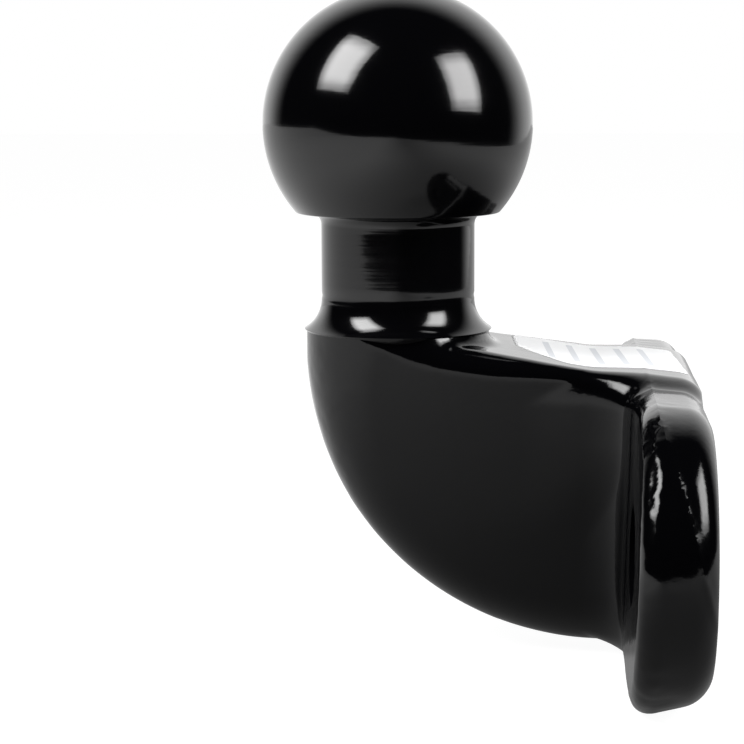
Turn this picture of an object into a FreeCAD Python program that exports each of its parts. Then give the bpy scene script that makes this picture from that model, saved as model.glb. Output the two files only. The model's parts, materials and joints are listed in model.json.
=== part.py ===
import FreeCAD, Part
import math
import os

# Two-bolt flange tow ball: one steel forging and the rating label stuck on its arm.
# Millimetres. The origin is the middle of the two-hole pattern, on the machined back of the flange.
# +X points out of the back, towards the vehicle, +Z is up, and the ball stands on the -X side.

# ---- driving dimensions ------------------------------------------------------------------------
# ball and neck, turned on the ball axis; the ledge is the ball's flat underside out from the neck
ball_d = 50.0
ball_flat_height = 23.4
ball_underside_ledge = 4.62
ball_rim_r = 0.6
neck_d = 28.5
neck_top_fillet = 2.2
neck_length = 16.0
neck_flare_r = 6.5
flare_depth = 5.6
collar_land = 1.0
collar_undercut = 4.0

# where the ball sits from the hole pattern
ball_reach = 55.0
ball_rise = 71.5

# forged arm
collar_step = 0.25
arm_top_below_ear = 0.52
arm_side_plan_angle = 7.7
arm_side_draft = 9.7
arm_keel_arc_r = 55.5
arm_top_edge_r = 3.0
keel_above_flange_bottom = 0.5
root_fillet_r = 8.0

# flange with its two bolt holes
hole_spacing = 90.0
hole_d = 17.0
ear_r = 25.8
flange_t = 13.1
flange_front_lean = 1.1
flange_rim_draft = 9.0
flange_die_tilt = 5.0
flange_front_edge_r = 4.0
flange_back_edge_r = 4.5

# rating label on the arm's sloping top
label_length = 30.5
label_width = 30.0
label_t = 0.2
label_corner_r = 1.5
label_from_back = 2.6
label_side_offset = 0.1
label_turn = 3.5

# ---- sizes that follow from them ---------------------------------------------------------------
X_AXIS = FreeCAD.Vector(1, 0, 0)
Y_AXIS = FreeCAD.Vector(0, 1, 0)
Z_AXIS = FreeCAD.Vector(0, 0, 1)
ORIGIN = FreeCAD.Vector(0, 0, 0)

ball_r = ball_d / 2
neck_r = neck_d / 2
ball_underside_r = neck_r + ball_underside_ledge
ball_underside_depth = math.sqrt(ball_r ** 2 - ball_underside_r ** 2)
ball_centre = FreeCAD.Vector(-ball_reach, 0, ball_rise)
neck_end_depth = ball_underside_depth + neck_length
turned_depth = neck_end_depth + flare_depth
collar_r = neck_r + neck_flare_r - math.sqrt(neck_flare_r ** 2 - flare_depth ** 2)
collar_z = ball_rise - turned_depth
# the sloping top leaves the collar at the ball axis and runs out level with the ears at the back
arm_top_slope = math.degrees(math.atan2(collar_z - ear_r + arm_top_below_ear, ball_reach))
nose_r = collar_r - collar_step
nose_x = -(ball_reach + nose_r)
overlap = 1.0
root_inset = 0.15
pivot_rise = 28.0
keel_arc_sections = 6
root_arc_sections = 5
same_place = 1e-4
far = 4 * (ball_reach + ball_rise)


def tan(degrees):
    return math.tan(math.radians(degrees))


def arm_top_z(x):
    """Height of the arm's sloping top, which leaves the collar at the ball axis."""
    return collar_z - (x + ball_reach) * tan(arm_top_slope)


def flange_front_x(z):
    return -flange_t + z * tan(flange_front_lean)


def ear_radius(x):
    """The rim narrows towards the machined back; ear_r is its radius at half thickness."""
    return ear_r + (-x - flange_t / 2) * tan(flange_rim_draft)


def ear_height(x):
    """The forging direction leans, so the rim's middle line drops towards the front."""
    return -(-x - flange_t / 2) * tan(flange_die_tilt)


# ---- turned ball, neck and collar --------------------------------------------------------------
def turned_profile():
    """Half section in the XZ plane, as (radius, height above the ball's centre)."""
    def at(radius, height):
        return FreeCAD.Vector(radius, 0, height)

    flat_r = math.sqrt(ball_r ** 2 - ball_flat_height ** 2)
    fillet_mid = neck_top_fillet * (1 - math.sqrt(0.5))
    flare_centre_r = neck_r + neck_flare_r
    flare_end_angle = math.asin(flare_depth / neck_flare_r)
    flare_mid = flare_end_angle / 2
    points = {
        "top": at(0, ball_flat_height),
        "flat": at(flat_r, ball_flat_height),
        "equator": at(ball_r, 0),
        "rim": at(ball_underside_r, -ball_underside_depth),
        "seat": at(neck_r + neck_top_fillet, -ball_underside_depth),
        "seat_mid": at(neck_r + fillet_mid, -ball_underside_depth - fillet_mid),
        "neck_top": at(neck_r, -ball_underside_depth - neck_top_fillet),
        "neck_end": at(neck_r, -neck_end_depth),
        "flare_mid": at(flare_centre_r - neck_flare_r * math.cos(flare_mid),
                        -neck_end_depth - neck_flare_r * math.sin(flare_mid)),
        "collar": at(collar_r, -turned_depth),
        "land": at(collar_r, -turned_depth - collar_land),
        "undercut": at(collar_r - collar_undercut, -turned_depth - collar_land - collar_undercut),
        "foot": at(0, -turned_depth - collar_land - collar_undercut),
    }
    edges = [
        Part.LineSegment(points["top"], points["flat"]),
        Part.Arc(points["flat"], points["equator"], points["rim"]),
        Part.LineSegment(points["rim"], points["seat"]),
        Part.Arc(points["seat"], points["seat_mid"], points["neck_top"]),
        Part.LineSegment(points["neck_top"], points["neck_end"]),
        Part.Arc(points["neck_end"], points["flare_mid"], points["collar"]),
        Part.LineSegment(points["collar"], points["land"]),
        Part.LineSegment(points["land"], points["undercut"]),
        Part.LineSegment(points["undercut"], points["foot"]),
        Part.LineSegment(points["foot"], points["top"]),
    ]
    return Part.Wire([edge.toShape() for edge in edges])


def make_turned_end():
    solid = Part.Face(turned_profile()).revolve(ORIGIN, Z_AXIS, 360)
    rim = [edge for edge in solid.Edges
           if edge.Closed and abs(edge.BoundBox.ZMax + ball_underside_depth) < same_place
           and edge.BoundBox.XMax > neck_r + neck_top_fillet + ball_rim_r]
    solid = solid.makeFillet(ball_rim_r, rim)
    solid.translate(ball_centre)
    return solid


# ---- forged arm --------------------------------------------------------------------------------
keel_bottom_z = -ear_r + keel_above_flange_bottom
keel_centre = FreeCAD.Vector(nose_x + arm_keel_arc_r, 0, keel_bottom_z + arm_keel_arc_r)
pivot = FreeCAD.Vector(0, 0, collar_z + pivot_rise)


def side_half_width(x, z):
    """The arm's flat side: it widens towards the flange and narrows downwards."""
    nose_width = nose_r / math.cos(math.radians(arm_side_plan_angle))
    return nose_width + (x + ball_reach) * tan(arm_side_plan_angle) + (z - collar_z) * tan(arm_side_draft)


def keel_outline():
    """Points down the nose, round the keel's arc and along the bottom into the flange."""
    nose_top = collar_z + collar_r * tan(arm_top_slope) + overlap
    tips = [FreeCAD.Vector(nose_x, 0, nose_top), FreeCAD.Vector(nose_x, 0, keel_centre.z)]
    for step in range(1, keel_arc_sections + 1):
        angle = math.pi + step * math.pi / 2 / keel_arc_sections
        tips.append(keel_centre + FreeCAD.Vector(math.cos(angle), 0, math.sin(angle)) * arm_keel_arc_r)
    tips.append(FreeCAD.Vector(-overlap, 0, keel_bottom_z))
    return tips


def drafted_section(start, along, reach, grow=0.0):
    """U-shaped section of the arm: two drafted sides closed by a full round at the keel.

    It starts at a point on the XZ plane and runs the reach along a direction in that plane.
    A positive grow offsets the sides and the keel outwards by that much.
    """
    taper = along.x * tan(arm_side_plan_angle) + along.z * tan(arm_side_draft)
    hyp = math.sqrt(1 + taper ** 2)
    start_width = side_half_width(start.x, start.z) + grow * hyp
    round_r = (start_width + taper * (reach + grow)) / (hyp + taper)
    centre = reach + grow - round_r
    tangent_along = centre - round_r * taper / hyp
    tangent_out = round_r / hyp

    def at(distance, out):
        return start + along * distance + Y_AXIS * out

    edges = [
        Part.LineSegment(at(0, -start_width), at(tangent_along, -tangent_out)),
        Part.Arc(at(tangent_along, -tangent_out), at(reach + grow, 0), at(tangent_along, tangent_out)),
        Part.LineSegment(at(tangent_along, tangent_out), at(0, start_width)),
        Part.LineSegment(at(0, start_width), at(0, -start_width)),
    ]
    return Part.Wire([edge.toShape() for edge in edges])


def arm_section(tip):
    """Section in the plane through the pivot line and a point of the keel's outline."""
    along = (tip - pivot).normalize()
    return drafted_section(pivot + along * overlap, along, (tip - pivot).Length - overlap)


def keel_z(x):
    """Height of the keel's lowest line under the flange end of the arm."""
    ahead = min(0.0, x - keel_centre.x)
    return keel_centre.z - math.sqrt(arm_keel_arc_r ** 2 - ahead ** 2)


def root_section(ahead, grow):
    """Section this far in front of the flange's leaning front face, offset outwards by grow."""
    start = FreeCAD.Vector(flange_front_x(pivot.z) - ahead, 0, pivot.z)
    down = FreeCAD.Vector(-tan(flange_front_lean), 0, -1).normalize()
    keel_x = flange_front_x(keel_bottom_z) - ahead
    return drafted_section(start, down, (pivot.z - keel_z(keel_x)) / -down.z, grow)


def make_root():
    """The concave fillet where the arm runs out onto the flange; it starts just inside the arm."""
    sections = []
    for step in range(root_arc_sections + 1):
        turn = step * math.pi / 2 / root_arc_sections
        ahead = root_fillet_r * (1 - math.sin(turn))
        sections.append(root_section(ahead, root_fillet_r * (1 - math.cos(turn)) - root_inset))
    sections.append(root_section(-overlap, root_fillet_r - root_inset))
    return Part.makeLoft(sections, True, False).cut(above_arm_top()).common(ear_slab())


def above_arm_top():
    """Everything over the arm's sloping top, as a block to cut away."""
    block = Part.makeBox(far, far, far, FreeCAD.Vector(-far / 2, -far / 2, 0))
    block.rotate(ORIGIN, Y_AXIS, arm_top_slope)
    block.translate(FreeCAD.Vector(-ball_reach, 0, collar_z))
    return block


def behind_arm():
    """The arm ends where the rounding of the flange's back edge begins, inside the flange."""
    return Part.makeBox(far, far, far, FreeCAD.Vector(-flange_back_edge_r, -far / 2, -far / 2))


def above_collar():
    return Part.makeBox(far, far, far, FreeCAD.Vector(-far / 2 - ball_reach, -far / 2, collar_z))


def ear_slab():
    """Everything between the ears' lowest and highest lines at half thickness."""
    return Part.makeBox(far, far, 2 * ear_r, FreeCAD.Vector(-far / 2, -far / 2, -ear_r))


def round_top_edges(solid):
    """Round the edges that run along the sloping top towards the flange."""
    def on_top(vertex):
        return abs(vertex.Z - arm_top_z(vertex.X)) < same_place

    edges = [edge for edge in solid.Edges
             if all(on_top(v) for v in edge.Vertexes)
             and (abs(edge.Vertexes[0].X - edge.Vertexes[-1].X) > overlap
                  or edge.Vertexes[0].X < -ball_reach)]
    return solid.makeFillet(arm_top_edge_r, edges)


def make_arm():
    """The drafted arm: its top edges are rounded before the collar's plane is turned."""
    arm = Part.makeLoft([arm_section(tip) for tip in keel_outline()], True, False)
    arm = round_top_edges(arm.cut(above_arm_top()).cut(behind_arm()))
    return arm.cut(above_collar())


# ---- flange ------------------------------------------------------------------------------------
def rim_outline(x):
    """Obround through the two ears, in the plane at this depth."""
    radius = ear_radius(x)
    middle = ear_height(x)
    ear = hole_spacing / 2

    def at(y, z):
        return FreeCAD.Vector(x, y, middle + z)

    edges = [
        Part.LineSegment(at(-ear, radius), at(ear, radius)),
        Part.Arc(at(ear, radius), at(ear + radius, 0), at(ear, -radius)),
        Part.LineSegment(at(ear, -radius), at(-ear, -radius)),
        Part.Arc(at(-ear, -radius), at(-ear - radius, 0), at(-ear, radius)),
    ]
    return Part.Wire([edge.toShape() for edge in edges])


def in_front_of_flange():
    block = Part.makeBox(far, far, far, FreeCAD.Vector(-far, -far / 2, -far / 2))
    block.rotate(ORIGIN, Y_AXIS, flange_front_lean)
    block.translate(FreeCAD.Vector(-flange_t, 0, 0))
    return block


def make_flange():
    front = -flange_t - ear_radius(-2 * flange_t) * tan(flange_front_lean)
    blank = Part.makeLoft([rim_outline(front - overlap), rim_outline(0)], True, True)
    flange = blank.cut(in_front_of_flange())
    back = [edge for edge in flange.Edges if all(abs(v.X) < same_place for v in edge.Vertexes)]
    flange = flange.makeFillet(flange_back_edge_r, back)
    rim = [edge for edge in flange.Edges
           if all(abs(v.X - flange_front_x(v.Z)) < same_place for v in edge.Vertexes)]
    return flange.makeFillet(flange_front_edge_r, rim)


def hole_tools():
    """The two straight drills, which break out square at the machined back."""
    tools = []
    for side in (-1, 1):
        centre = FreeCAD.Vector(0, side * hole_spacing / 2, 0)
        tools.append(Part.makeCylinder(hole_d / 2, 3 * flange_t, centre + X_AXIS * overlap, -X_AXIS))
    return tools


def make_forging():
    body = make_arm().fuse(make_root()).fuse(make_flange()).fuse(make_turned_end())
    for tool in hole_tools():
        body = body.cut(tool)
    return body


# ---- label -------------------------------------------------------------------------------------
def make_label():
    """Rounded sheet lying flat on the arm's sloping top."""
    plate = Part.makeBox(label_length, label_width, label_t,
                         FreeCAD.Vector(-label_length / 2, -label_width / 2, 0))
    corners = [edge for edge in plate.Edges
               if abs(edge.Vertexes[0].Z - edge.Vertexes[-1].Z) > label_t / 2]
    plate = plate.makeFillet(label_corner_r, corners)
    plate.rotate(ORIGIN, Z_AXIS, label_turn)
    plate.rotate(ORIGIN, Y_AXIS, arm_top_slope)
    middle_x = -(label_from_back + label_length / 2)
    plate.translate(FreeCAD.Vector(middle_x, label_side_offset, arm_top_z(middle_x)))
    return plate


def main():
    os.makedirs("parts", exist_ok=True)
    nodes = {"hitch_forging": make_forging(), "rating_label": make_label()}
    for name, shape in nodes.items():
        shape.exportStep("parts/%s.step" % name)
        print(name, "valid", shape.isValid(), "solids", len(shape.Solids), "volume", round(shape.Volume, 1))


main()
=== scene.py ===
import json
import math

import bpy
import numpy as np
from mathutils import Matrix, Vector


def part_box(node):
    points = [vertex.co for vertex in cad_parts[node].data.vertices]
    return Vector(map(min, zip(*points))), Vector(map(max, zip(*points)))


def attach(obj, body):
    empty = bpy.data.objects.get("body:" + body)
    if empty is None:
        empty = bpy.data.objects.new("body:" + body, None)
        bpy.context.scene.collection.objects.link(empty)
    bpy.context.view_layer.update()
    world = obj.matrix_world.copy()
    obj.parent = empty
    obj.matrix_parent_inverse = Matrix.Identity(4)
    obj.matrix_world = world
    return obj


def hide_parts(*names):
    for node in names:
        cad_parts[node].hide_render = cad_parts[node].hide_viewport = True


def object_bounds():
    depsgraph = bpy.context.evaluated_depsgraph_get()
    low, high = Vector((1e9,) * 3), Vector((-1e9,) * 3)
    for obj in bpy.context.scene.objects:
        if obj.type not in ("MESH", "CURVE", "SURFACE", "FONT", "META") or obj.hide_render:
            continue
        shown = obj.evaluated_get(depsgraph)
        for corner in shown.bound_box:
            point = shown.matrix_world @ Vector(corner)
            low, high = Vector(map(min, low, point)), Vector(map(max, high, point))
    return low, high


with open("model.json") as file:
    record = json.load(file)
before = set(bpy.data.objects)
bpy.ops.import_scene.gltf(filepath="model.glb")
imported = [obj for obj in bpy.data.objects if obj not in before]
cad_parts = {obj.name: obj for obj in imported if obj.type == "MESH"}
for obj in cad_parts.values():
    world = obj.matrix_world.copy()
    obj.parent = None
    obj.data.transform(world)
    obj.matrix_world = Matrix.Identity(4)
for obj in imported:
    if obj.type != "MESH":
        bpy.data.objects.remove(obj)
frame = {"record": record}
cad_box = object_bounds()

MM = 0.001

# ---- where things stand, from the frame --------------------------------------------------------
mounts = {mount["name"]: mount for mount in frame["record"]["mounts"]}
ball_centre = Vector(mounts["coupling_ball"]["pos_m"])
hole_spacing = mounts["flange_bolts"]["dims"]["spacing_x_mm"]
hole_r = mounts["flange_bolts"]["dims"]["hole_r_mm"]
ball_reach = -ball_centre.x / MM
ball_rise = ball_centre.z / MM
label_low, label_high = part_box("rating_label")
floor_z = cad_box[0].z

# ---- sizes of the turned end in millimetres ----------------------------------------------------
ball_r = 25.0
ball_flat_height = 23.4
ball_rim_r = 0.6
neck_r = 14.25
neck_top_fillet = 2.2
seat_land = 0.8
ball_underside_ledge = 4.62
ball_underside_depth = math.sqrt(ball_r ** 2 - (neck_r + ball_underside_ledge) ** 2)
neck_length = 16.0
neck_flare_r = 6.5
flare_depth = 5.6
tool_run_out = 1.3
tool_groove = 0.12
collar_land = 0.4
collar_undercut = 4.0
collar_r = neck_r + neck_flare_r - math.sqrt(neck_flare_r ** 2 - flare_depth ** 2)
collar_z = ball_rise - ball_underside_depth - neck_length - flare_depth
turned_segments = 192
drill_segments = 96
sharp_edge = math.radians(32)

# ---- sizes of the flange in millimetres --------------------------------------------------------
ear_r = 25.8
flange_t = 13.1
rim_draft = math.radians(9.0)
rim_tilt = math.radians(5.0)
front_lean = math.radians(1.1)
front_edge_r = 4.5
back_edge_r = 4.5
back_stock = 0.4
hole_break = 0.3
draft_run_on = 8.0
draft_run_on_out = (26, 42)
ridge_height = 0.24
ridge_width = 0.5
ridge_start_x, ridge_start_z = -8.1, 22.0
ridge_slant = 0.28

# ---- sizes of the arm in millimetres -----------------------------------------------------------
collar_step = 0.25
nose_r = collar_r - collar_step
nose_x = -(ball_reach + nose_r)
arm_top_below_ear = 0.52
arm_top_slope = math.atan2(collar_z - ear_r + arm_top_below_ear, ball_reach)
arm_side_plan = math.tan(math.radians(7.7))
arm_side_draft = math.tan(math.radians(9.7))
arm_keel_r = 55.5
keel_above_flange_bottom = 0.5
keel_x = nose_x + arm_keel_r
keel_z = keel_above_flange_bottom - ear_r + arm_keel_r
root_fillet_r = 8.0
saddle_r = 5.0
saddle_along, saddle_up = (-32, -14), (-5, 15)
pad_fillet_r = 2.4
pad_depth = 2.0
overlap = 1.0

# The arm's top edge is crisp round the nose, fullest beside the neck and tighter at the flange.
edge_r_nose, edge_r_neck, edge_r_flange = 0.8, 5.0, 2.7
nose_to_neck = (-66, -48)
neck_to_flange = (-42, -20)

# ---- worn die skin: lumps as (size, seed, depth), where size and depth are in millimetres ------
slow_lumps = ((14, 3, 0.10), (6, 4, 0.05))
hammered_lumps = ((2.3, 5, 0.13), (1.3, 6, 0.08))
chipped_lumps = ((1.7, 7, 0.4),)
grain_flow = (0.4, 1, 1)
arm_roughness, nose_roughness = 0.07, 0.5
chip_line_x, chip_line_width = -11.0, 1.1
rim_wear_out, rim_wear_front, rim_wear_back = (30, 52), (-16, -10), (4, 9)
nose_wear = (58, 66)
chips_out, chips_up = (50, 60), (9, 13)

# ---- camera ------------------------------------------------------------------------------------
camera_lens = 115.9
camera_from_ball = Vector((23.8, -444.5, 15.2)) * MM
camera_down, camera_roll, camera_left = math.radians(7.883), math.radians(0.213), math.radians(3.667)


def make_camera():
    """A long lens just above the ball's centre, tilted down and turned a little towards the nose."""
    data = bpy.data.cameras.new("camera")
    data.lens = camera_lens
    data.sensor_width = 36.0
    data.clip_start = 0.01
    data.clip_end = 20.0
    camera = bpy.data.objects.new("camera", data)
    bpy.context.scene.collection.objects.link(camera)
    camera.location = ball_centre + camera_from_ball
    camera.rotation_euler = (math.radians(90) - camera_down, camera_roll, camera_left)
    bpy.context.scene.camera = camera


# ---- small helpers -----------------------------------------------------------------------------
def linear(hex_colour):
    """A linear RGBA colour from an sRGB hex value."""
    def channel(value):
        return value / 12.92 if value <= 0.04045 else ((value + 0.055) / 1.055) ** 2.4

    digits = hex_colour.lstrip("#")
    return [channel(int(digits[i:i + 2], 16) / 255) for i in (0, 2, 4)] + [1.0]


def add_node(tree, kind, settings=None, inputs=None):
    """Adds a node, sets its properties and fills its inputs with values or with other sockets.

    An input is called by its name, or by its number where the node has several of that name.
    """
    node = tree.nodes.new(kind)
    for name, value in (settings or {}).items():
        setattr(node, name, value)
    for name, value in (inputs or {}).items():
        if isinstance(value, bpy.types.NodeSocket):
            tree.links.new(value, node.inputs[name])
        else:
            node.inputs[name].default_value = value
    return node


def per_mm(size):
    """The scale that gives a pattern this size in millimetres, on coordinates in metres."""
    return 1 / (size * MM)


def wave_per_mm(size):
    """The scale that puts a wave texture's crests this many millimetres apart."""
    return 2 * math.pi / (20 * size * MM)


def new_material(name):
    material = bpy.data.materials.new(name)
    material.use_nodes = True
    material.node_tree.nodes.clear()
    return material, material.node_tree


def new_piece(name, mesh, *materials):
    piece = bpy.data.objects.new(name, mesh)
    bpy.context.scene.collection.objects.link(piece)
    for material in materials:
        mesh.materials.append(material)
    return piece


def mesh_from(name, points, faces):
    """A mesh in metres from points in millimetres."""
    mesh = bpy.data.meshes.new(name)
    mesh.from_pydata((np.asarray(points) * MM).tolist(), [], [list(map(int, face)) for face in faces])
    mesh.update()
    return mesh


# ---- the as-forged blank, as a distance field --------------------------------------------------
def rounded_both(a, b, radius):
    """Distance to what lies in both shapes, with the edge between them rounded."""
    outside = np.hypot(np.maximum(a + radius, 0), np.maximum(b + radius, 0))
    return np.minimum(np.maximum(a, b), -radius) + outside


def filleted_either(a, b, radius):
    """Distance to two shapes joined with a concave fillet."""
    inside = np.hypot(np.maximum(radius - a, 0), np.maximum(radius - b, 0))
    return np.maximum(np.minimum(a, b), radius) - inside


def smooth_step(value, start, end):
    """Rises smoothly from 0 to 1 between two values."""
    t = np.clip((value - start) / (end - start), 0, 1)
    return t * t * (3 - 2 * t)


def arm_top_z(x):
    """Height of the sloping top, which leaves the collar at the ball axis."""
    return collar_z - (x + ball_reach) * math.tan(arm_top_slope)


def arm_edge_r(x):
    to_neck = (edge_r_neck - edge_r_nose) * smooth_step(x, *nose_to_neck)
    to_flange = (edge_r_flange - edge_r_neck) * smooth_step(x, *neck_to_flange)
    return edge_r_nose + to_neck + to_flange


def arm_field(x, y, z):
    """Two drafted sides closed by a full round that follows the keel, under the sloping top."""
    ahead, below = np.minimum(x - keel_x, 0), np.minimum(z - keel_z, 0)
    from_centre = np.maximum(np.hypot(ahead, below), 1e-6)
    out_x, out_z = ahead / from_centre, below / from_centre
    depth = arm_keel_r - from_centre
    tip_x, tip_z = x + out_x * depth, z + out_z * depth
    nose_width = nose_r * math.sqrt(1 + arm_side_plan ** 2)
    tip_width = nose_width + (tip_x + ball_reach) * arm_side_plan + (tip_z - collar_z) * arm_side_draft
    taper = out_x * arm_side_plan + out_z * arm_side_draft
    hyp = np.sqrt(1 + taper ** 2)
    round_r = tip_width / (hyp + taper)
    beyond = round_r - depth
    side = np.abs(y)
    keel = np.hypot(side, beyond) - round_r
    flank = (side - taper * beyond) / hyp - round_r
    walls = np.where(beyond + taper * side > 0, keel, flank)
    top = (z - arm_top_z(x)) * math.cos(arm_top_slope)
    pad_wall = np.hypot(x + ball_reach, y) - collar_r + 2 * collar_step
    pad = np.maximum(np.maximum(pad_wall, z - collar_z - overlap), walls + pad_depth)
    return filleted_either(rounded_both(walls, top, arm_edge_r(x)), pad, pad_fillet_r)


def trim_ridge(x, z):
    """Height of the low ridge where the flash was trimmed, which slants across the ears' rim."""
    ridge_x = ridge_start_x + (ridge_start_z - z) * ridge_slant
    return ridge_height * np.exp(-((x - ridge_x) / ridge_width) ** 2)


def blank_field(x, y, z):
    """The arm run out onto the drafted flange, before any machining."""
    arm = arm_field(x, y, z)
    # The rim's draft runs on past the front on the ears, but stops at the front rounding between them.
    on_ears = smooth_step(np.abs(y), *draft_run_on_out)
    draft_length = flange_t - front_edge_r + draft_run_on * on_ears
    from_middle = np.maximum(x, -draft_length) + flange_t / 2
    rim_r = ear_r - from_middle * math.tan(rim_draft)
    rim_z = from_middle * math.tan(rim_tilt)
    ear = np.hypot(np.maximum(np.abs(y) - hole_spacing / 2, 0), z - rim_z)
    rim = (ear - rim_r) * math.cos(rim_draft) - trim_ridge(x, z)
    front = (z * math.tan(front_lean) - flange_t - x) * math.cos(front_lean)
    flange = rounded_both(filleted_either(arm, front, root_fillet_r), rim, front_edge_r)
    # The saddle on top fades out along the arm and down its sides.
    saddle = saddle_r * smooth_step(x, *saddle_along) * smooth_step(z, *saddle_up)
    body = filleted_either(arm, flange, saddle + 1e-3)
    return rounded_both(body, x - back_stock, back_edge_r)


def grid_slice(axis, which):
    """Picks a range along one axis of a grid and everything along the others."""
    picked = [slice(None)] * 3
    picked[axis] = which
    return tuple(picked)


def crossed_edges(values, axis):
    """The field at both ends of each grid edge along an axis, and whether it changes sign."""
    start, end = values[grid_slice(axis, slice(None, -1))], values[grid_slice(axis, slice(1, None))]
    return start, end, (start < 0) != (end < 0)


def add_crossings(total, hits, grid, axis, edges, step):
    """Adds the point where each edge is crossed to the four cells round that edge."""
    start, end, crossed = edges
    share = np.where(crossed, start / np.where(crossed, start - end, 1), 0)
    point = [np.where(crossed, line[grid_slice(axis, slice(None, -1))], 0) for line in grid]
    point[axis] = point[axis] + share * step
    across = [i for i in range(3) if i != axis]
    for shift in np.ndindex(2, 2):
        part = [slice(None)] * 3
        for direction, offset in zip(across, shift):
            part[direction] = slice(offset, hits.shape[direction] + offset)
        hits += crossed[tuple(part)]
        for i in range(3):
            total[..., i] += point[i][tuple(part)]


def crossing_quads(cell_ids, axis, edges):
    """A quad through the four cells round each crossed inner edge, facing out of the solid."""
    start, _, crossed = edges
    across = [i for i in range(3) if i != axis]
    inner = [slice(None)] * 3
    for direction in across:
        inner[direction] = slice(1, -1)
    spot = np.argwhere(crossed[tuple(inner)]) + [int(i != axis) for i in range(3)]
    corners = []
    for offsets in ((-1, -1), (0, -1), (0, 0), (-1, 0)):
        corner = spot.copy()
        for direction, offset in zip(across, offsets):
            corner[:, direction] += offset
        corners.append(cell_ids[tuple(corner.T)])
    quads = np.stack(corners, 1)
    kept = (start[tuple(spot.T)] < 0) ^ (axis == 1)
    quads[~kept] = quads[~kept][:, ::-1]
    return quads


def net_surface(field, low, high, step):
    """Points and quads where the field crosses zero, with one point in each crossed grid cell."""
    grid = np.meshgrid(*[np.arange(a, b + step, step) for a, b in zip(low, high)], indexing="ij")
    values = field(*grid)
    cells = tuple(count - 1 for count in values.shape)
    cell_ids = np.arange(np.prod(cells)).reshape(cells)
    total, hits, quads = np.zeros(cells + (3,)), np.zeros(cells), []
    for axis in range(3):
        edges = crossed_edges(values, axis)
        add_crossings(total, hits, grid, axis, edges, step)
        quads.append(crossing_quads(cell_ids, axis, edges))
    used = hits.ravel() > 0
    points = total.reshape(-1, 3)[used] / hits.ravel()[used, None]
    renumber = np.cumsum(used) - 1
    return points, renumber[np.concatenate(quads)]


def field_normals(field, points, reach=0.05):
    """Unit vectors up the field's slope, out of the solid."""
    slopes = []
    for i in range(3):
        step = np.zeros(3)
        step[i] = reach
        slopes.append(field(*(points + step).T) - field(*(points - step).T))
    slopes = np.stack(slopes, 1)
    return slopes / np.maximum(np.linalg.norm(slopes, axis=1, keepdims=True), 1e-9)


def drop_onto(field, points, rounds=4):
    """Moves points along the field's slope until they lie on its surface."""
    for _ in range(rounds):
        points = points - field_normals(field, points) * field(*points.T)[:, None]
    return points


# ---- forging texture ---------------------------------------------------------------------------
def lumps(points, size, seed):
    """Smooth random heights from 0 to 1, with lumps about this many millimetres across."""
    table = np.random.default_rng(seed).random((64, 64, 64))
    place = points / size + 32
    cell = np.floor(place).astype(int)
    t = place - cell
    t = t * t * (3 - 2 * t)
    height = np.zeros(len(points))
    for corner in np.ndindex(2, 2, 2):
        weight = np.prod(np.where(corner, t, 1 - t), axis=1)
        height += weight * table[tuple(((cell + corner) % 64).T)]
    return height


def layered(points, layers):
    return sum(lumps(points, size, seed) * depth for size, seed, depth in layers)


def forged_relief(points):
    """How far the skin lies below the drawn shape: die wear all over, hammered on nose and rim."""
    x, y, z = points.T
    slow = layered(points, slow_lumps)
    rim = smooth_step(np.abs(y), *rim_wear_out) * smooth_step(x, *rim_wear_front)
    nose = smooth_step(-x, *nose_wear)
    rough = np.clip(arm_roughness + rim * smooth_step(-x, *rim_wear_back) + nose_roughness * nose, 0, 1)
    hammered = layered(points * grain_flow, hammered_lumps)
    front_edge = np.exp(-((x - chip_line_x) / chip_line_width) ** 2)
    upper_ear = smooth_step(np.abs(y), *chips_out) * smooth_step(z, *chips_up)
    chipped = front_edge * upper_ear * layered(points, chipped_lumps)
    return slow + rough * hammered + chipped


def make_blank():
    """The forging as it leaves the dies, left long at the back for machining."""
    ear_end = hole_spacing / 2 + ear_r
    low = np.array((nose_x, -ear_end, -ear_r)) - (3, 4, 4)
    high = np.array((0, ear_end, arm_top_z(nose_x))) + (3, 4, 3)
    cell = 0.7
    points, quads = net_surface(blank_field, low, high, cell)
    points = drop_onto(blank_field, points)
    points -= field_normals(blank_field, points) * forged_relief(points)[:, None]
    return mesh_from("blank", points, quads)


# ---- turned and machined features --------------------------------------------------------------
def arc(centre, radius, start, end, count):
    """Points on an arc in a half section, from one angle to another in degrees."""
    angles = np.radians(np.linspace(start, end, count))
    return [(centre[0] + radius * math.cos(a), centre[1] + radius * math.sin(a)) for a in angles]


def lathe(name, section, segments, place):
    """A closed solid turned from a half section of (radius, height) that starts and ends on the axis."""
    ring = section[1:-1]
    points = [(0, 0, section[0][1]), (0, 0, section[-1][1])]
    for radius, height in ring:
        for step in range(segments):
            angle = 2 * math.pi * step / segments
            points.append((radius * math.cos(angle), radius * math.sin(angle), height))
    faces = []
    for step in range(segments):
        after = (step + 1) % segments
        faces.append((0, 2 + step, 2 + after))
        for level in range(len(ring) - 1):
            near, far = 2 + level * segments, 2 + (level + 1) * segments
            faces.append((near + step, far + step, far + after, near + after))
        last = 2 + (len(ring) - 1) * segments
        faces.append((1, last + after, last + step))
    mesh = mesh_from(name, points, faces)
    mesh.transform(place)
    return mesh


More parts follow.
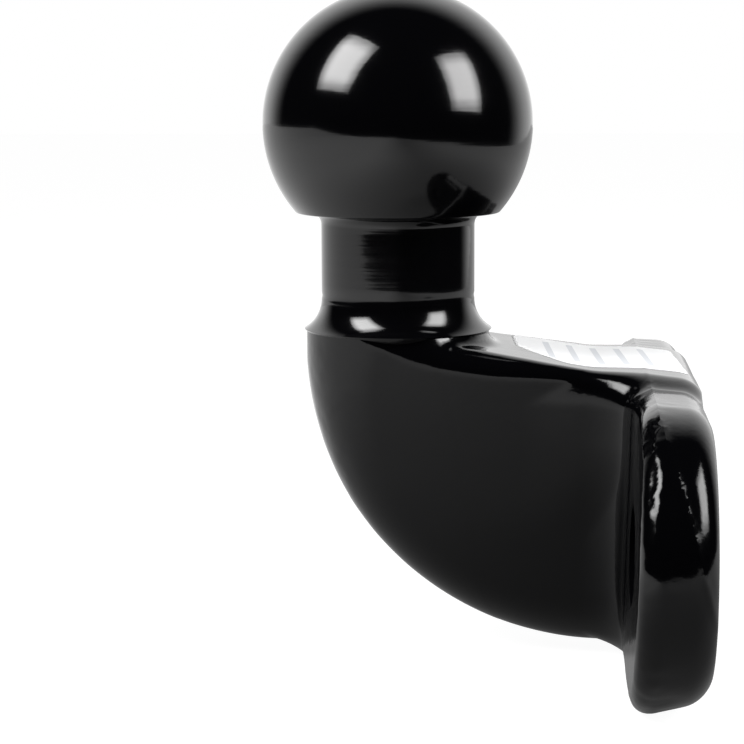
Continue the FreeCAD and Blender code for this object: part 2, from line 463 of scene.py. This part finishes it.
def turned_section():
    """Ball, neck and collar, with heights from the ball's centre."""
    flat_angle = math.degrees(math.asin(ball_flat_height / ball_r))
    rim_angle = math.asin((ball_underside_depth - ball_rim_r) / (ball_r - ball_rim_r))
    rim_centre = ((ball_r - ball_rim_r) * math.cos(rim_angle), -ball_underside_depth + ball_rim_r)
    neck_end = -ball_underside_depth - neck_length
    flare_angle = math.degrees(math.asin(flare_depth / neck_flare_r))
    collar = neck_end - flare_depth
    foot = collar - collar_land - collar_undercut
    seat = (neck_r + neck_top_fillet, -ball_underside_depth - neck_top_fillet)
    section = [(0, ball_flat_height)]
    section += arc((0, 0), ball_r, flat_angle, -math.degrees(rim_angle), 90)
    section += arc(rim_centre, ball_rim_r, -math.degrees(rim_angle), -90, 8)[1:]
    section += [(seat[0] + seat_land, -ball_underside_depth)]
    section += arc(seat, neck_top_fillet, 90, 180, 14)
    run_out = neck_end + tool_run_out
    section += [(neck_r, seat[1] + (run_out - seat[1]) * step / 8) for step in range(1, 9)]
    section += [(neck_r - tool_groove, neck_end + tool_run_out / 2)]
    section += arc((neck_r + neck_flare_r, neck_end), neck_flare_r, 180, 180 + flare_angle, 16)
    section += [(collar_r - collar_land, collar - collar_land), (collar_r - collar_undercut, foot), (0, foot)]
    return section


def make_turned_end():
    return lathe("turned_end", turned_section(), turned_segments, Matrix.Translation(ball_centre))


def drill_section():
    """A bolt hole's drill, which takes the sharp edge off at the flange's back; heights run forwards."""
    deep = 3 * flange_t
    clear = 2.0
    straight = [(0, deep), (hole_r, deep), (hole_r, hole_break)]
    return straight + [(hole_r + hole_break + clear, -clear), (0, -clear)]


def make_drill(side):
    forwards = Matrix.Rotation(math.radians(-90), 4, "Y")
    middle = Matrix.Translation((0, side * hole_spacing / 2 * MM, 0))
    return lathe("drill", drill_section(), drill_segments, middle @ forwards)


def make_block(name, low, high):
    """A block in millimetres, as a tool for facing the forging flat."""
    points = [(x, y, z) for x in (low[0], high[0]) for y in (low[1], high[1]) for z in (low[2], high[2])]
    faces = [(0, 1, 3, 2), (4, 6, 7, 5), (0, 4, 5, 1), (2, 3, 7, 6), (0, 2, 6, 4), (1, 5, 7, 3)]
    return mesh_from(name, points, faces)


def combine(body, mesh, operation):
    """Joins a tool to the body, or cuts it away, and keeps only the body."""
    tool = new_piece(mesh.name, mesh)
    modifier = body.modifiers.new(mesh.name, "BOOLEAN")
    modifier.solver = "MANIFOLD"
    modifier.operation = operation
    modifier.object = tool
    evaluated = body.evaluated_get(bpy.context.evaluated_depsgraph_get())
    result = bpy.data.meshes.new_from_object(evaluated)
    body.modifiers.clear()
    body.data = result
    bpy.data.objects.remove(tool)


def make_forging(forged, turned, milled):
    """The whole forging: blank, faced at the collar and the back, with its turned end and holes."""
    body = new_piece("hitch_forging_finished", make_blank())
    far = 200.0  # well past every side of the forging
    combine(body, make_block("collar_facing", (-far, -far, collar_z), (far, far, far)), "DIFFERENCE")
    combine(body, make_block("back_facing", (0, -far, -far), (far, far, far)), "DIFFERENCE")
    combine(body, make_turned_end(), "UNION")
    for side in (-1, 1):
        combine(body, make_drill(side), "DIFFERENCE")
    mesh = body.data
    mesh.materials.clear()
    for material in (forged, turned, milled):
        mesh.materials.append(material)
    assign_finishes(mesh)
    mesh.shade_smooth()
    mesh.set_sharp_from_angle(angle=sharp_edge)
    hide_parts("hitch_forging")
    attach(body, "root")


def assign_finishes(mesh):
    """Forged skin, turned end or machined face, by where each polygon lies."""
    count = len(mesh.polygons)
    centre, normal = np.zeros(count * 3), np.zeros(count * 3)
    mesh.polygons.foreach_get("center", centre)
    mesh.polygons.foreach_get("normal", normal)
    centre, normal = centre.reshape(-1, 3) / MM, normal.reshape(-1, 3)
    x, y, z = centre.T
    on_plane = 0.01
    from_axis = np.hypot(x + ball_reach, y)
    above_arm = z > arm_top_z(x) + 0.1
    turned = (z > collar_z - on_plane) | ((from_axis < collar_r + 2 * on_plane) & above_arm)
    milled = (x > -on_plane) & (normal[:, 0] > 0.9)
    index = np.where(turned, 1, np.where(milled, 2, 0))
    mesh.polygons.foreach_set("material_index", index.astype(np.int32))


# ---- rating label ------------------------------------------------------------------------------
label_length = 30.5
label_width = 30.0
label_turn = math.radians(3.5)
label_corner_r = 1.5
label_film = 0.12
label_gap = 0.03
label_curl = 1.8
unstuck_length, unstuck_width = 9.5, 18.0
curl_power = 1.3
rule_pitch = 4.5
rule_width = 1.2
rule_side_margin, rule_end_margin = 5.0, 4.0


def label_outline(u, v):
    """Draws the sheet's corners in to a round."""
    corner_u, corner_v = label_length / 2 - label_corner_r, label_width / 2 - label_corner_r
    over_u, over_v = np.maximum(np.abs(u) - corner_u, 0), np.maximum(np.abs(v) - corner_v, 0)
    reach = np.maximum(np.hypot(over_u, over_v), 1e-9)
    pull = np.minimum(1, label_corner_r / reach)
    u = np.sign(u) * (np.minimum(np.abs(u), corner_u) + over_u * pull)
    v = np.sign(v) * (np.minimum(np.abs(v), corner_v) + over_v * pull)
    return u, v


def make_label(film):
    """The sheet lies down over the arm's top, and its near corner by the neck has come unstuck."""
    along, across = 50, 56
    u, v = np.meshgrid(np.linspace(-0.5, 0.5, along) * label_length,
                       np.linspace(-0.5, 0.5, across) * label_width, indexing="ij")
    u, v = label_outline(u.ravel(), v.ravel())
    middle = (label_low + label_high) / 2 / MM
    x = middle.x + u * math.cos(label_turn) - v * math.sin(label_turn)
    y = middle.y + u * math.sin(label_turn) + v * math.cos(label_turn)
    z = arm_top_z(x) + 0.5
    # Each step lowers the sheet by how far it still is from the forging.
    for _ in range(12):
        z = z - blank_field(x, y, z)
    from_corner = (u + label_length / 2) / unstuck_length + (v + label_width / 2) / unstuck_width
    unstuck = np.clip(1 - from_corner, 0, 1)
    z = z + label_gap + label_curl * unstuck ** curl_power
    points = np.stack([x, y, z], 1)
    faces = [(i * across + j, (i + 1) * across + j, (i + 1) * across + j + 1, i * across + j + 1)
             for i in range(along - 1) for j in range(across - 1)]
    label = new_piece("rating_label_film", mesh_from("rating_label_film", points, faces), film)
    label.data.shade_smooth()
    thickness = label.modifiers.new("film", "SOLIDIFY")
    thickness.thickness = label_film * MM
    thickness.offset = 1
    # The paint shows plain black where it would mirror the label, so mirrors leave the label out.
    label.visible_glossy = False
    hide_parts("rating_label")
    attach(label, "root")


# ---- finishes ----------------------------------------------------------------------------------
def black_enamel(name, mirror, peel_height, under):
    """Gloss black stoving enamel over steel; under adds the bump of the metal below the coat.

    It reads as a deep black that takes its tone from what it mirrors, with a faint orange peel
    and a little dust. The coat mirrors less where the steel below it is rough.
    """
    material, tree = new_material(name)
    place = add_node(tree, "ShaderNodeTexCoord").outputs["Object"]
    # Orange peel is about 1.6 mm from crest to crest.
    peel = add_node(tree, "ShaderNodeTexNoise", {"name": "orange peel"},
                    {"Vector": place, "Scale": per_mm(1.6), "Detail": 1.5, "Roughness": 0.4})
    bump = add_node(tree, "ShaderNodeBump", {"name": "peel relief"},
                    {"Height": peel.outputs["Fac"], "Strength": 1.0, "Distance": peel_height * MM})
    normal = under(tree, place, bump.outputs["Normal"])
    # Dust lies in specks about 0.15 mm across, drawn near 0.3 mm so that they show.
    dust = add_node(tree, "ShaderNodeTexVoronoi", {"name": "dust", "feature": "F1"},
                    {"Vector": place, "Scale": per_mm(2.4), "Randomness": 1.0})
    speck = add_node(tree, "ShaderNodeMapRange", {"name": "dust specks", "clamp": True},
                     {"Value": dust.outputs["Distance"], "From Min": 0.05, "From Max": 0.09,
                      "To Min": 1.0, "To Max": 0.0})
    rare = add_node(tree, "ShaderNodeMath", {"operation": "GREATER_THAN"},
                    {0: dust.outputs["Color"], 1: 0.93})
    dusty = add_node(tree, "ShaderNodeMath", {"operation": "MULTIPLY"},
                     {0: speck.outputs["Result"], 1: rare.outputs["Value"]})
    # Handling leaves the gloss uneven over a few centimetres.
    haze = add_node(tree, "ShaderNodeTexNoise", {"name": "handling haze"},
                    {"Vector": place, "Scale": per_mm(22), "Detail": 4.0, "Roughness": 0.6})
    rough = add_node(tree, "ShaderNodeMapRange", {"name": "gloss"},
                     {"Value": haze.outputs["Fac"], "From Min": 0.35, "From Max": 0.75,
                      "To Min": 0.07, "To Max": 0.13})
    rough_dusty = add_node(tree, "ShaderNodeMath", {"operation": "MULTIPLY_ADD"},
                           {0: dusty.outputs["Value"], 1: 0.5, 2: rough.outputs["Result"]})
    colour = add_node(tree, "ShaderNodeMix", {"data_type": "RGBA", "name": "dusted black"},
                      {"Factor": dusty.outputs["Value"], 6: linear("#030304"), 7: linear("#3c3c3e")})
    shader = add_node(tree, "ShaderNodeBsdfPrincipled", {"name": name},
                      {"Base Color": colour.outputs[2], "Metallic": 0.0, "IOR": 1.5,
                       "Specular IOR Level": mirror,
                       "Roughness": rough_dusty.outputs["Value"], "Normal": normal})
    add_node(tree, "ShaderNodeOutputMaterial", {}, {"Surface": shader.outputs["BSDF"]})
    return material


def forged_skin(tree, place, normal):
    """Scale pits about 0.9 mm across, softened by the coat."""
    pits = add_node(tree, "ShaderNodeTexNoise", {"name": "scale pits"},
                    {"Vector": place, "Scale": per_mm(0.9), "Detail": 3.0, "Roughness": 0.55})
    bump = add_node(tree, "ShaderNodeBump", {"name": "pitted relief"},
                    {"Height": pits.outputs["Fac"], "Strength": 1.0, "Distance": 0.012 * MM,
                     "Normal": normal})
    return bump.outputs["Normal"]


def turning_marks(tree, place, normal):
    """Feed marks of the lathe run round the ball axis, with uneven rings from emery cloth over them.

    A 0.2 mm feed is too fine to show, so its marks are drawn 3.1 mm apart. Emery strokes, about
    0.1 mm apart, are drawn 1.3 mm apart, and they smear what is mirrored.
    """
    rings = add_node(tree, "ShaderNodeTexWave",
                     {"name": "feed marks", "wave_type": "BANDS", "bands_direction": "Z"},
                     {"Vector": place, "Scale": wave_per_mm(3.1416), "Distortion": 0.0})
    bump = add_node(tree, "ShaderNodeBump", {"name": "turned relief"},
                    {"Height": rings.outputs["Fac"], "Strength": 1.0, "Distance": 0.0012 * MM,
                     "Normal": normal})
    squash = add_node(tree, "ShaderNodeMapping", {"vector_type": "POINT"},
                      {"Vector": place, "Scale": (0.03, 0.03, 1.0)})
    strokes = add_node(tree, "ShaderNodeTexNoise", {"name": "emery strokes"},
                       {"Vector": squash.outputs["Vector"], "Scale": per_mm(1.3), "Detail": 2.0,
                        "Roughness": 0.5})
    smear = add_node(tree, "ShaderNodeBump", {"name": "emery relief"},
                     {"Height": strokes.outputs["Fac"], "Strength": 1.0, "Distance": 0.013 * MM,
                      "Normal": bump.outputs["Normal"]})
    return smear.outputs["Normal"]


def milling_marks(tree, place, normal):
    """A face mill's arcs, filled by the coat until they only just show.

    Arcs 0.8 mm apart would be too fine to show, so they are drawn 5 mm apart.
    """
    arcs = add_node(tree, "ShaderNodeTexWave",
                    {"name": "mill arcs", "wave_type": "RINGS", "rings_direction": "X"},
                    {"Vector": place, "Scale": wave_per_mm(5.0265), "Distortion": 0.3, "Detail": 1.0})
    bump = add_node(tree, "ShaderNodeBump", {"name": "milled relief"},
                    {"Height": arcs.outputs["Fac"], "Strength": 1.0, "Distance": 0.004 * MM,
                     "Normal": normal})
    return bump.outputs["Normal"]


def ruled_lines(tree, place):
    """Plain pale rules 1.2 mm wide every 4.5 mm across the label, which stop short of its edges."""
    middle = (label_low + label_high) / 2
    flat = add_node(tree, "ShaderNodeMapping", {"vector_type": "TEXTURE"},
                    {"Vector": place, "Location": middle, "Rotation": (0, 0, label_turn)})
    parts = add_node(tree, "ShaderNodeSeparateXYZ", {}, {"Vector": flat.outputs["Vector"]})
    rows = add_node(tree, "ShaderNodeMath", {"operation": "PINGPONG"},
                    {0: parts.outputs["X"], 1: rule_pitch / 2 * MM})
    ruled = add_node(tree, "ShaderNodeMath", {"operation": "LESS_THAN"},
                     {0: rows.outputs["Value"], 1: rule_width / 2 * MM})
    inside = ruled.outputs["Value"]
    reaches = {"X": label_length / 2 - rule_side_margin, "Y": label_width / 2 - rule_end_margin}
    for axis, reach in reaches.items():
        away = add_node(tree, "ShaderNodeMath", {"operation": "ABSOLUTE"}, {0: parts.outputs[axis]})
        within = add_node(tree, "ShaderNodeMath", {"operation": "LESS_THAN"},
                          {0: away.outputs["Value"], 1: reach * MM})
        inside = add_node(tree, "ShaderNodeMath", {"operation": "MULTIPLY"},
                          {0: inside, 1: within.outputs["Value"]}).outputs["Value"]
    return inside


def label_vinyl():
    """Printed white vinyl film, semi-gloss, with pale ruled lines and a faint grain of 0.5 mm."""
    material, tree = new_material("white_label_vinyl")
    place = add_node(tree, "ShaderNodeTexCoord").outputs["Object"]
    grain = add_node(tree, "ShaderNodeTexNoise", {"name": "film grain"},
                     {"Vector": place, "Scale": per_mm(0.5), "Detail": 2.0})
    bump = add_node(tree, "ShaderNodeBump", {"name": "film relief"},
                    {"Height": grain.outputs["Fac"], "Strength": 1.0, "Distance": 0.004 * MM})
    tone = add_node(tree, "ShaderNodeMix", {"data_type": "RGBA", "name": "film tone"},
                    {"Factor": grain.outputs["Fac"], 6: linear("#e2e3e5"), 7: linear("#ececec")})
    print_grey = ruled_lines(tree, place)
    printed = add_node(tree, "ShaderNodeMix", {"data_type": "RGBA", "name": "printed film"},
                       {"Factor": print_grey, 6: tone.outputs[2], 7: linear("#c3c6cb")})
    shader = add_node(tree, "ShaderNodeBsdfPrincipled", {"name": "white_label_vinyl"},
                      {"Base Color": printed.outputs[2], "Metallic": 0.0, "IOR": 1.46,
                       "Specular IOR Level": 0.15, "Roughness": 0.35, "Normal": bump.outputs["Normal"]})
    add_node(tree, "ShaderNodeOutputMaterial", {}, {"Surface": shader.outputs["BSDF"]})
    return material


# ---- studio: how bright the stage is, where 1 is plain white, and its places in millimetres ----
# The table and the sweep look white to the camera, but have levels of their own in mirrors and as light.
table_to_camera, sweep_to_camera = 0.96, 1.0
sweep_in_mirrors, room_in_mirrors = 1.25, 0.002
# The table ends close in front and on the right, and the paint mirrors the dark room beyond it.
table_outline = [(-2500, -800), (-600, -560), (-44, -564), (253, -276), (352, -10), (900, 2500),
                 (-2500, 2500)]


def make_floor():
    """A pale lit table top under the flange, whose glow is painted light: weaker on the right, with painted
    shade near the foot.
    """
    material, tree = new_material("pale_table_painted_glow")
    place = add_node(tree, "ShaderNodeTexCoord").outputs["Object"]
    parts = add_node(tree, "ShaderNodeSeparateXYZ", {}, {"Vector": place})
    # Painted light: the glow fades from 1.0 to 0.3 towards the right, and further right it gains up to 0.35
    # back.
    across = add_node(tree, "ShaderNodeMapRange", {"interpolation_type": "SMOOTHSTEP"},
                      {"Value": parts.outputs["X"], "From Min": -150 * MM, "From Max": 30 * MM,
                       "To Min": 1.0, "To Max": 0.3})
    # Painted shade: close to the foot the glow drops to 0.35, where the forging would shade the table.
    off_foot = add_node(tree, "ShaderNodeVectorMath", {"operation": "LENGTH"}, {0: place})
    clear = add_node(tree, "ShaderNodeMapRange", {"interpolation_type": "SMOOTHSTEP"},
                     {"Value": off_foot.outputs["Value"], "From Min": 40 * MM, "From Max": 230 * MM,
                      "To Min": 0.35, "To Max": 1.0})
    right = add_node(tree, "ShaderNodeMapRange", {"interpolation_type": "SMOOTHSTEP"},
                     {"Value": parts.outputs["X"], "From Min": 0.0, "From Max": 200 * MM,
                      "To Min": 0.0, "To Max": 0.35})
    # The painted glow of the table, which mirrors and lighting see, while the camera sees the table plain.
    painted_table_glow = add_node(tree, "ShaderNodeMath", {"operation": "MULTIPLY_ADD"},
                    {0: across.outputs["Result"], 1: clear.outputs["Result"], 2: right.outputs["Result"]})
    seen = add_node(tree, "ShaderNodeLightPath").outputs["Is Camera Ray"]
    level = add_node(tree, "ShaderNodeMix", {"data_type": "FLOAT"},
                     {"Factor": seen, 2: painted_table_glow.outputs["Value"], 3: table_to_camera})
    shader = add_node(tree, "ShaderNodeBsdfPrincipled", {},
                      {"Base Color": linear("#6a6a6a"), "Roughness": 0.9, "Specular IOR Level": 0.0,
                       "Emission Color": linear("#ffffff"), "Emission Strength": level.outputs[0]})
    add_node(tree, "ShaderNodeOutputMaterial", {}, {"Surface": shader.outputs["BSDF"]})
    points = [(x, y, 0) for x, y in table_outline]
    floor = new_piece("floor", mesh_from("floor", points, [range(len(points))]), material)
    floor.location.z = floor_z


def shade_softbox(data):
    """The lamp behind the cloth lights its middle fully and its edges less."""
    data.use_nodes = True
    tree = data.node_tree
    tree.nodes.clear()
    place = add_node(tree, "ShaderNodeNewGeometry").outputs["Parametric"]
    parts = add_node(tree, "ShaderNodeSeparateXYZ", {}, {"Vector": place})
    across = edge_falloff(tree, parts.outputs["X"])
    along = edge_falloff(tree, parts.outputs["Y"])
    both = add_node(tree, "ShaderNodeMath", {"operation": "MULTIPLY"}, {0: across, 1: along})
    cloth = add_node(tree, "ShaderNodeEmission", {}, {"Strength": both.outputs["Value"]})
    add_node(tree, "ShaderNodeOutputLight", {}, {"Surface": cloth.outputs["Emission"]})


def edge_falloff(tree, position):
    """From 1 over the middle of a softbox to 0.35 at its edge, along one side's 0 to 1 position."""
    off_middle = add_node(tree, "ShaderNodeMath", {"operation": "SUBTRACT"}, {0: position, 1: 0.5})
    distance = add_node(tree, "ShaderNodeMath", {"operation": "ABSOLUTE"}, {0: off_middle.outputs["Value"]})
    fall = add_node(tree, "ShaderNodeMapRange", {"interpolation_type": "SMOOTHSTEP"},
                    {"Value": distance.outputs["Value"], "From Min": 0.22, "From Max": 0.5,
                     "To Min": 1.0, "To Max": 0.35})
    return fall.outputs["Result"]


def make_softbox(name, centre, up, width, height, radiance):
    """A rectangular soft light that faces the ball."""
    data = bpy.data.lights.new(name, "AREA")
    data.shape = "RECTANGLE"
    data.size, data.size_y = width * MM, height * MM
    data.energy = radiance * math.pi * data.size * data.size_y
    shade_softbox(data)
    light = bpy.data.objects.new(name, data)
    bpy.context.scene.collection.objects.link(light)
    place = ball_centre + Vector(centre) * MM
    back = (place - ball_centre).normalized()
    side = Vector(up).cross(back).normalized()
    rotation = Matrix((side, back.cross(side), back)).transposed()
    light.matrix_world = Matrix.Translation(place) @ rotation.to_4x4()
    light.visible_camera = False


def make_surroundings():
    """A white sweep behind the object, and a dark room on the side it is seen from."""
    world = bpy.data.worlds.new("studio")
    bpy.context.scene.world = world
    world.use_nodes = True
    tree = world.node_tree
    tree.nodes.clear()
    direction = add_node(tree, "ShaderNodeTexCoord").outputs["Generated"]
    parts = add_node(tree, "ShaderNodeSeparateXYZ", {}, {"Vector": direction})
    sweep = add_node(tree, "ShaderNodeMapRange", {"interpolation_type": "SMOOTHSTEP"},
                     {"Value": parts.outputs["Y"], "From Min": 0.35, "From Max": 0.78,
                      "To Min": room_in_mirrors, "To Max": sweep_in_mirrors})
    seen = add_node(tree, "ShaderNodeLightPath").outputs["Is Camera Ray"]
    level = add_node(tree, "ShaderNodeMix", {"data_type": "FLOAT"},
                     {"Factor": seen, 2: sweep.outputs["Result"], 3: sweep_to_camera})
    shade = add_node(tree, "ShaderNodeBackground", {},
                     {"Color": linear("#ffffff"), "Strength": level.outputs[0]})
    add_node(tree, "ShaderNodeOutputWorld", {}, {"Surface": shade.outputs["Background"]})


def make_studio():
    make_floor()
    make_surroundings()
    make_softbox("left_softbox", centre=(-329, -194, 392), up=(0.42, 0.31, 0.5),
                 width=316, height=432, radiance=17.0)
    make_softbox("right_softbox", centre=(444, -191, 288), up=(-0.3, 0.3, 0.75),
                 width=301, height=448, radiance=14.0)
    bpy.context.scene.view_settings.view_transform = "Standard"


make_camera()
make_studio()
make_forging(black_enamel("forged_black_enamel", mirror=0.28, peel_height=0.006, under=forged_skin),
             black_enamel("turned_black_enamel", mirror=0.45, peel_height=0.004, under=turning_marks),
             black_enamel("milled_black_enamel", mirror=0.35, peel_height=0.006, under=milling_marks))
make_label(label_vinyl())
